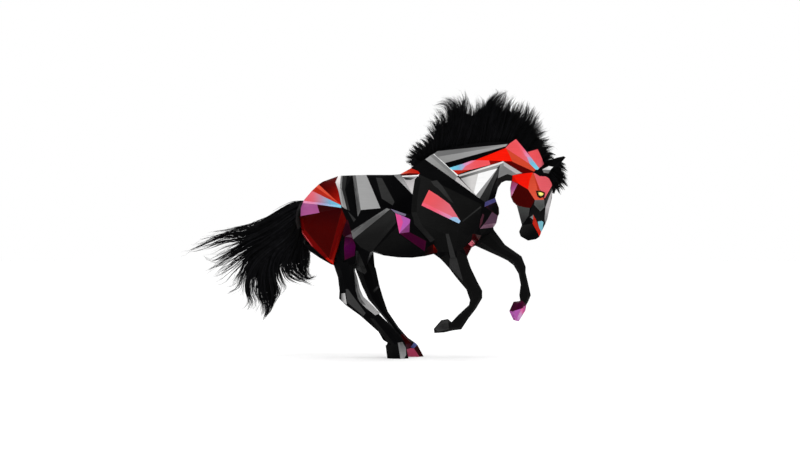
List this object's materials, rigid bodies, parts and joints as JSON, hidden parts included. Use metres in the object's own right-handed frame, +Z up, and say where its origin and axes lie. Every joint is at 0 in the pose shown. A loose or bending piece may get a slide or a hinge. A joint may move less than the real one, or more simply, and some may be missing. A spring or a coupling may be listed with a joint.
{
  "type": "geometric horse sculpture",
  "caption": "Life-size faceted horse in a high canter, standing on its hind hooves, with a panelled lacquered body, glass eyes, and a mane, forelock and tail of hair.",
  "frame": {"origin": "middle of the overall box, on the plane that both hind soles stand on", "axes": "+X the way the horse faces, +Y to its left, +Z up"},
  "size_m": [3.1526, 0.619, 2.1809],
  "materials": {
    "faceted_body": "gloss",
    "eye_glass": "polished",
    "hair": "satin"
  },
  "bodies": {
    "root": {"body": "faceted_body", "right_eye": "eye_glass", "left_eye": "eye_glass", "mane": "hair", "forelock": "hair", "tail": "hair"}
  },
  "joints": []
}
